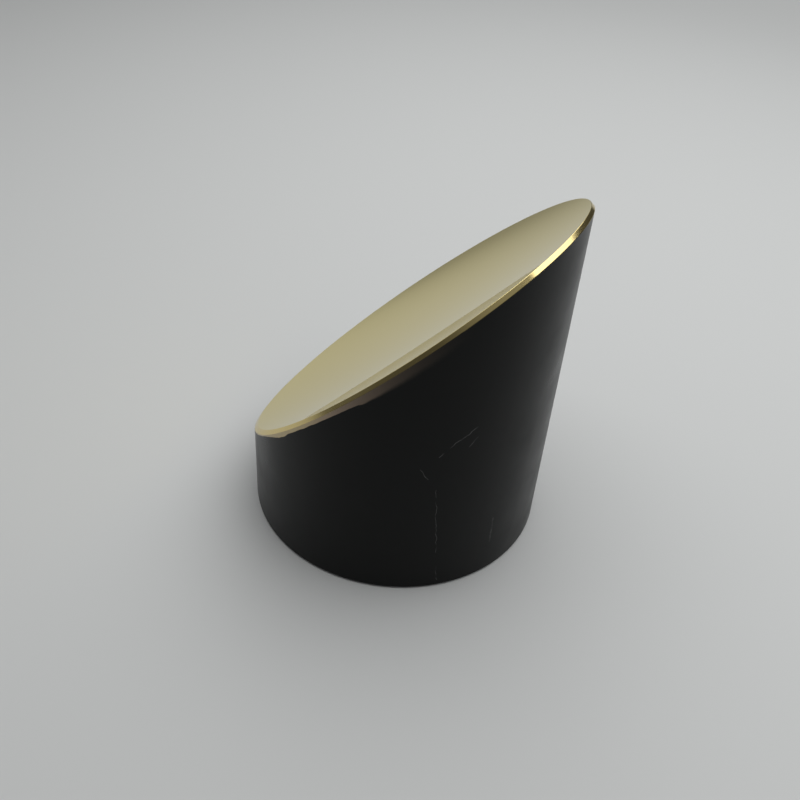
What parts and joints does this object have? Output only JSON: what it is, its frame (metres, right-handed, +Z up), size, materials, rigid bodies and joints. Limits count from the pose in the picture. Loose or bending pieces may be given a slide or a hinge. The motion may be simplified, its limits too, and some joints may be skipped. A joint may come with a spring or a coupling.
{
  "type": "off axis parabolic mirror",
  "caption": "Gold-faced concave mirror cut on a slant across a round black bar; turns a parallel beam through a right angle and focuses it beside the mirror.",
  "frame": {"origin": "centre of the flat base circle", "axes": "+Z up the axis of the round bar, +X towards the crest of the slanted face, so the face looks towards -X and up; symmetric about the XZ plane"},
  "size_m": [0.0254, 0.0254, 0.0306],
  "materials": {
    "anodised_bar": "satin black anodised bar with a polished gold-coated face"
  },
  "bodies": {
    "root": {"parabolic_mirror": "anodised_bar"}
  },
  "joints": []
}
